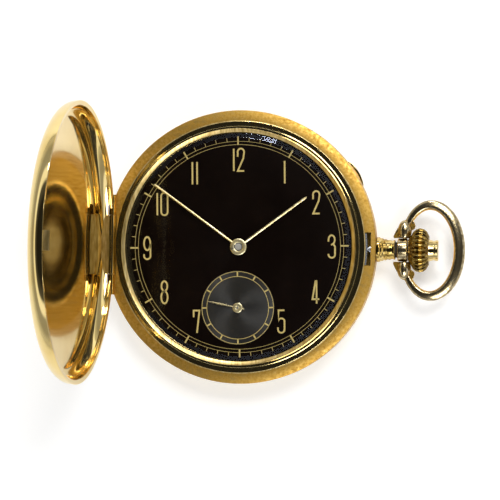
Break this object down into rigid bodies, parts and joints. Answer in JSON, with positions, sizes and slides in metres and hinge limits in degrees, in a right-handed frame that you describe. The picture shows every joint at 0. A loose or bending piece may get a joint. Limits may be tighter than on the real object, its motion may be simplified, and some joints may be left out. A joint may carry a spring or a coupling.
{
  "type": "hunter pocket watch",
  "caption": "Full hunter pocket watch with hinged front and back lids, black dial with sunk seconds, crown with release button, and oval bow; the hidden hand-wound movement is modelled.",
  "frame": {"origin": "centre of the flat on the back, on the axis of the dial", "axes": "+Z out through the dial, +X to the crown at 3 o'clock, +Y to 12 o'clock; the watch lies on its back with the front lid open"},
  "size_m": [0.07, 0.05, 0.0555],
  "materials": {
    "polished_gold": "polished gold plate, satin on the shoulders",
    "glass": "clear",
    "steel": "polished",
    "gilt_brass": "gilt",
    "nickel": "matt nickel plate",
    "black_dial": "gloss black",
    "pale_gold": "polished",
    "ruby": "polished ruby"
  },
  "bodies": {
    "watch": {"case_band": "polished_gold", "pendant": "polished_gold", "bow_screws": "pale_gold", "front_hinge_pin": "steel", "back_hinge_pin": "steel", "bezel": "polished_gold", "watch_glass": "glass", "lift_spring": "steel", "case_spring_screws": "steel", "dial": "black_dial", "dial_screws": "steel", "main_plate": "nickel", "case_screws": "steel", "barrel_bridge": "nickel", "train_bridge": "nickel", "balance_cock": "nickel", "pallet_cock": "nickel", "bridge_screws": "steel", "setting_lever_spring": "steel", "keyless_screws": "steel", "crown_wheel_core": "steel", "click_spring": "steel", "hairspring": "steel", "jewels": "ruby"},
    "front_lid": {"front_lid": "polished_gold"},
    "back_lid": {"back_lid": "polished_gold"},
    "cuvette": {"cuvette": "polished_gold"},
    "bow": {"bow": "polished_gold"},
    "winding_pinion": {"winding_pinion": "steel"},
    "stem_and_crown": {"winding_stem": "steel", "crown": "polished_gold", "button_spring": "steel"},
    "button": {"crown_button": "polished_gold", "release_collar": "steel"},
    "catch_spring": {"catch_spring": "steel"},
    "sliding_clutch": {"sliding_clutch": "steel"},
    "setting_lever": {"setting_lever": "steel"},
    "clutch_lever": {"clutch_lever": "steel"},
    "crown_wheel": {"crown_wheel": "steel"},
    "ratchet": {"ratchet_wheel": "steel", "barrel_arbor": "steel", "ratchet_screw": "steel"},
    "click": {"click": "steel"},
    "centre_wheel": {"centre_wheel": "gilt_brass", "cannon_pinion": "steel", "minute_hand": "pale_gold"},
    "barrel": {"mainspring_barrel": "gilt_brass", "barrel_cover": "gilt_brass", "mainspring": "steel"},
    "third_wheel": {"third_wheel": "gilt_brass"},
    "fourth_wheel": {"fourth_wheel": "gilt_brass", "seconds_hand": "pale_gold"},
    "escape_wheel": {"escape_wheel": "steel"},
    "minute_wheel": {"minute_wheel": "gilt_brass"},
    "hour_wheel": {"hour_wheel": "gilt_brass", "hour_hand": "pale_gold"},
    "setting_wheel": {"setting_wheel": "gilt_brass"},
    "pallet_fork": {"pallet_fork": "steel"},
    "balance": {"balance_wheel": "gilt_brass"},
    "regulator": {"regulator": "steel"}
  },
  "joints": [
    {"name": "front_lid_hinge", "type": "hinge", "parent": "watch", "child": "front_lid", "pos_m": [-0.02375, 0, 0.007], "axis": [0, -1, 0], "range_deg": [-92, 0]},
    {"name": "back_lid_hinge", "type": "hinge", "parent": "watch", "child": "back_lid", "pos_m": [-0.02375, 0, 0.0025], "axis": [0, 1, 0], "range_deg": [0, 95]},
    {"name": "cuvette_hinge", "type": "hinge", "parent": "watch", "child": "cuvette", "pos_m": [-0.02375, 0, 0.0025], "axis": [0, 1, 0], "range_deg": [0, 71.25]},
    {"name": "bow_pivot", "type": "hinge", "parent": "watch", "child": "bow", "pos_m": [0.03, 0, 0.00475], "axis": [0, 1, 0], "range_deg": [-90, 90]},
    {"name": "crown_turn", "type": "hinge", "parent": "watch", "child": "winding_pinion", "pos_m": [0, 0, 0.00475], "axis": [1, 0, 0], "continuous": true},
    {"name": "crown_pull", "type": "slide", "parent": "winding_pinion", "child": "stem_and_crown", "axis": [1, 0, 0], "range_m": [0, 0.0008]},
    {"name": "button_press", "type": "slide", "parent": "stem_and_crown", "child": "button", "axis": [-1, 0, 0], "range_m": [0, 0.0009], "stiffness_N_per_m": 1500, "deforming": ["button_spring"]},
    {"name": "catch_spring_flex", "type": "hinge", "parent": "watch", "child": "catch_spring", "pos_m": [0.01777, -0.01491, 0.00475], "axis": [0, 0, 1], "range_deg": [0, 1.62]},
    {"name": "clutch_slide", "type": "slide", "parent": "winding_pinion", "child": "sliding_clutch", "axis": [-1, 0, 0], "range_m": [0, 0.0007]},
    {"name": "setting_lever_turn", "type": "hinge", "parent": "watch", "child": "setting_lever", "pos_m": [0.0176, 0.0032, 0.0065], "axis": [0, 0, 1], "range_deg": [0, 14.3]},
    {"name": "clutch_lever_turn", "type": "hinge", "parent": "watch", "child": "clutch_lever", "pos_m": [0.01315, 0.0052, 0.0065], "axis": [0, 0, -1], "range_deg": [0, 7.75]},
    {"name": "crown_wheel_turn", "type": "hinge", "parent": "watch", "child": "crown_wheel", "pos_m": [0.01173, 0, 0.00205], "axis": [0, 0, 1], "continuous": true},
    {"name": "ratchet_turn", "type": "hinge", "parent": "watch", "child": "ratchet", "pos_m": [0.00523, 0.00747, 0.00205], "axis": [0, 0, 1], "continuous": true},
    {"name": "click_pivot", "type": "hinge", "parent": "watch", "child": "click", "pos_m": [0.00392, 0.01491, 0.00205], "axis": [0, 0, 1], "range_deg": [0, 8], "stiffness_Nm_per_rad": 0.0001},
    {"name": "centre_turn", "type": "hinge", "parent": "watch", "child": "centre_wheel", "pos_m": [0, 0, 0.0035], "axis": [0, 0, -1], "continuous": true},
    {"name": "barrel_turn", "type": "hinge", "parent": "watch", "child": "barrel", "pos_m": [0.00523, 0.00747, 0.005], "axis": [0, 0, -1], "continuous": true},
    {"name": "third_turn", "type": "hinge", "parent": "watch", "child": "third_wheel", "pos_m": [0.00334, -0.00638, 0.005], "axis": [0, 0, -1], "continuous": true},
    {"name": "fourth_turn", "type": "hinge", "parent": "watch", "child": "fourth_wheel", "pos_m": [0, -0.0111, 0.005], "axis": [0, 0, -1], "continuous": true},
    {"name": "escape_turn", "type": "hinge", "parent": "watch", "child": "escape_wheel", "pos_m": [-0.0052, -0.0136, 0.005], "axis": [0, 0, -1], "continuous": true},
    {"name": "minute_wheel_turn", "type": "hinge", "parent": "watch", "child": "minute_wheel", "pos_m": [0.00276, -0.00231, 0.005], "axis": [0, 0, -1], "continuous": true},
    {"name": "hour_turn", "type": "hinge", "parent": "watch", "child": "hour_wheel", "pos_m": [0, 0, 0.005], "axis": [0, 0, -1], "continuous": true},
    {"name": "setting_wheel_turn", "type": "hinge", "parent": "watch", "child": "setting_wheel", "pos_m": [0.00835, -0.00112, 0.005], "axis": [0, 0, -1], "continuous": true},
    {"name": "pallet_fork_rock", "type": "hinge", "parent": "watch", "child": "pallet_fork", "pos_m": [-0.00726, -0.01065, 0.0048], "axis": [0, 0, 1], "range_deg": [-5, 5]},
    {"name": "balance_swing", "type": "hinge", "parent": "watch", "child": "balance", "pos_m": [-0.01051, -0.006, 0.0038], "axis": [0, 0, 1], "range_deg": [-270, 270]},
    {"name": "regulator_turn", "type": "hinge", "parent": "watch", "child": "regulator", "pos_m": [-0.01051, -0.006, 0.0022], "axis": [0, 0, 1], "range_deg": [-15, 15]}
  ],
  "couplings": [
    {"joint": "cuvette_hinge", "follows": "back_lid_hinge", "ratio": 0.75},
    {"joint": "catch_spring_flex", "follows": "button_press", "rad_per_m": 31.3},
    {"joint": "clutch_slide", "follows": "crown_pull", "ratio": 0.875},
    {"joint": "setting_lever_turn", "follows": "crown_pull", "rad_per_m": 311},
    {"joint": "clutch_lever_turn", "follows": "crown_pull", "rad_per_m": 168},
    {"joint": "crown_wheel_turn", "follows": "crown_turn", "ratio": 0.5625},
    {"joint": "ratchet_turn", "follows": "crown_turn", "ratio": -0.41447},
    {"joint": "barrel_turn", "follows": "centre_turn", "ratio": -0.14286},
    {"joint": "third_turn", "follows": "centre_turn", "ratio": -8},
    {"joint": "fourth_turn", "follows": "centre_turn", "ratio": 60},
    {"joint": "escape_turn", "follows": "centre_turn", "ratio": -600},
    {"joint": "minute_wheel_turn", "follows": "centre_turn", "ratio": -0.33333},
    {"joint": "hour_turn", "follows": "centre_turn", "ratio": 0.083333},
    {"joint": "setting_wheel_turn", "follows": "centre_turn", "ratio": 0.3}
  ]
}
